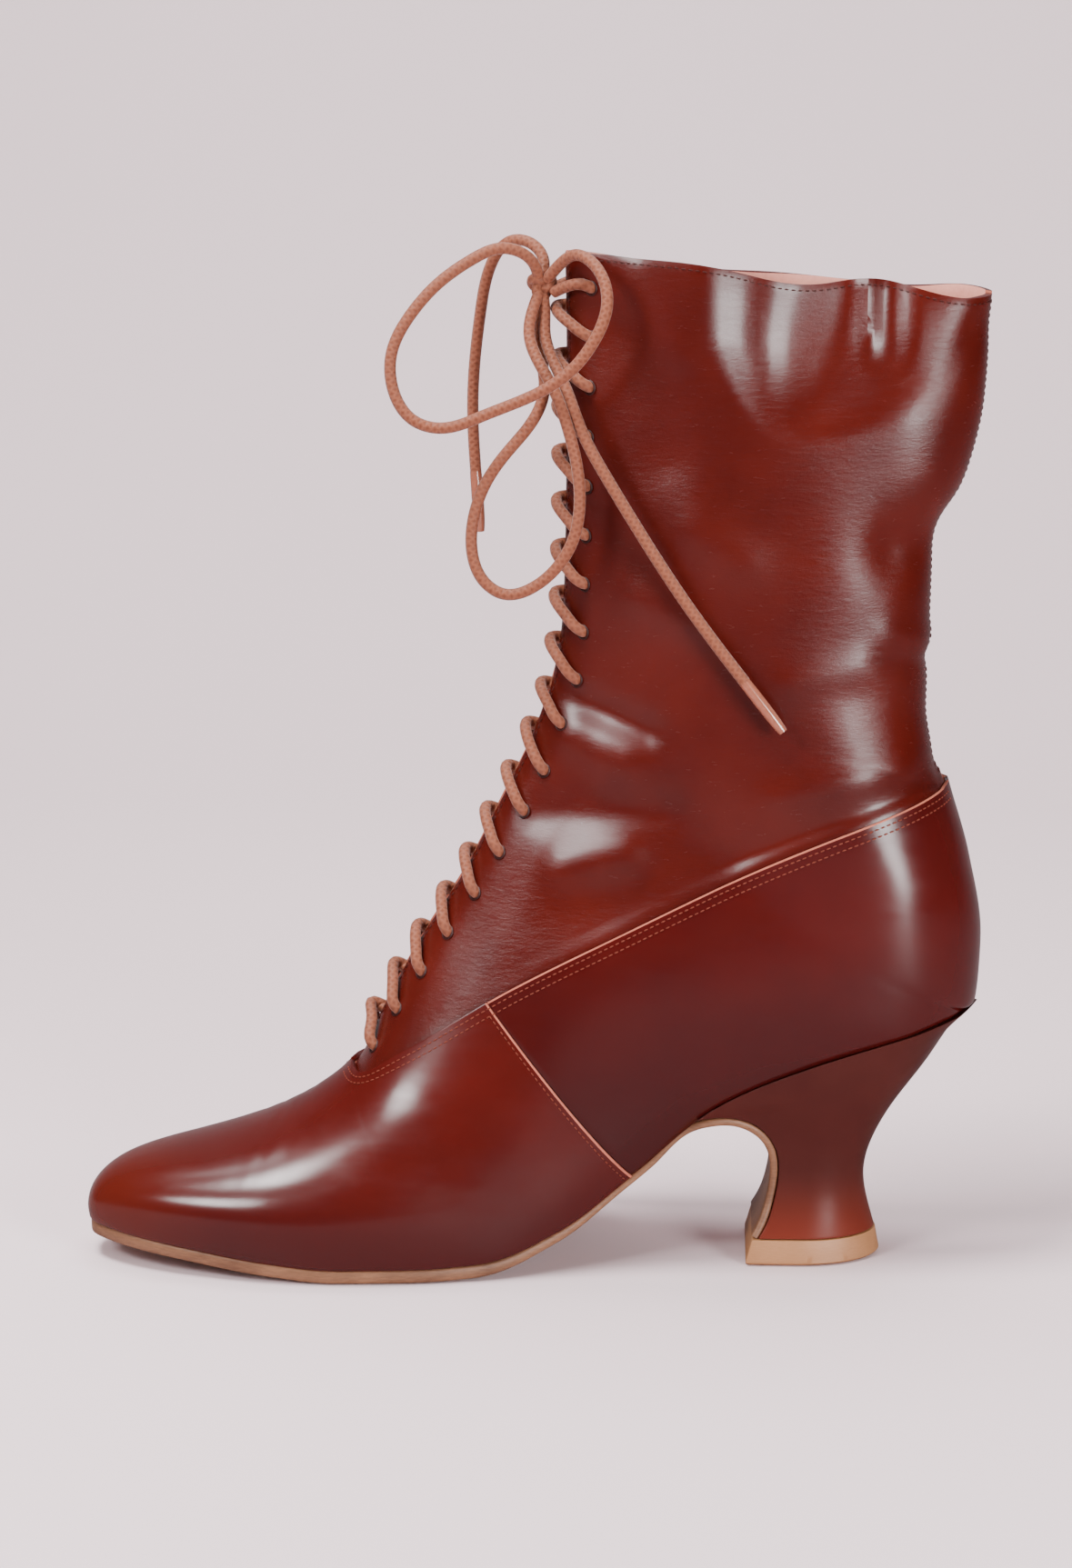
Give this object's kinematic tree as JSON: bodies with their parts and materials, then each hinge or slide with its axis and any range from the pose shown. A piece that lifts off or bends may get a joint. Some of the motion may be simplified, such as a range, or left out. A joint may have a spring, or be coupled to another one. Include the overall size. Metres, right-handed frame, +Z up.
{
  "type": "laced ankle boot",
  "caption": "Leather ankle boot for the right foot with a curved Louis heel, a foxing over a soft shaft, a slit laced to the collar through punched holes, and a bow with hanging ends",
  "frame": {"origin": "Middle of the boot's length and width, on the floor that it stands on; the free lace is left out of this box.", "axes": "The toe points to -X, the inner side of the foot faces -Y, and +Z is up."},
  "size_m": [0.2499, 0.0843, 0.2824],
  "materials": {
    "upper_leather": "polished",
    "vamp_leather": "glossy",
    "quarter_leather": "glossy",
    "tongue_leather": "satin",
    "sole_leather": "satin",
    "top_piece_leather": "satin",
    "insole_leather": "matte",
    "heel_leather": "glossy",
    "lace_cotton": "matte",
    "aglet_plastic": "clear gloss"
  },
  "bodies": {
    "root": {"outsole": "sole_leather", "heel": "heel_leather", "top_piece": "top_piece_leather", "insole": "insole_leather", "upper": "upper_leather", "vamp": "vamp_leather", "quarter": "quarter_leather", "tongue": "tongue_leather", "lace_cross_01": "lace_cotton", "lace_cross_02": "lace_cotton", "lace_cross_03": "lace_cotton", "lace_cross_04": "lace_cotton", "lace_cross_05": "lace_cotton", "lace_cross_06": "lace_cotton", "lace_cross_07": "lace_cotton", "lace_cross_08": "lace_cotton", "lace_cross_09": "lace_cotton", "lace_cross_10": "lace_cotton", "lace_cross_11": "lace_cotton", "lace_cross_12": "lace_cotton", "lace_cross_13": "lace_cotton", "lace_cross_14": "lace_cotton", "lace_cross_15": "lace_cotton", "lace_cross_16": "lace_cotton", "lace_cross_17": "lace_cotton", "lace_cross_18": "lace_cotton", "lace_knot": "lace_cotton", "lace_loop_front": "lace_cotton", "lace_loop_low": "lace_cotton", "lace_end_near": "lace_cotton", "lace_end_far": "lace_cotton", "aglet_near": "aglet_plastic", "aglet_far": "aglet_plastic"}
  },
  "joints": []
}
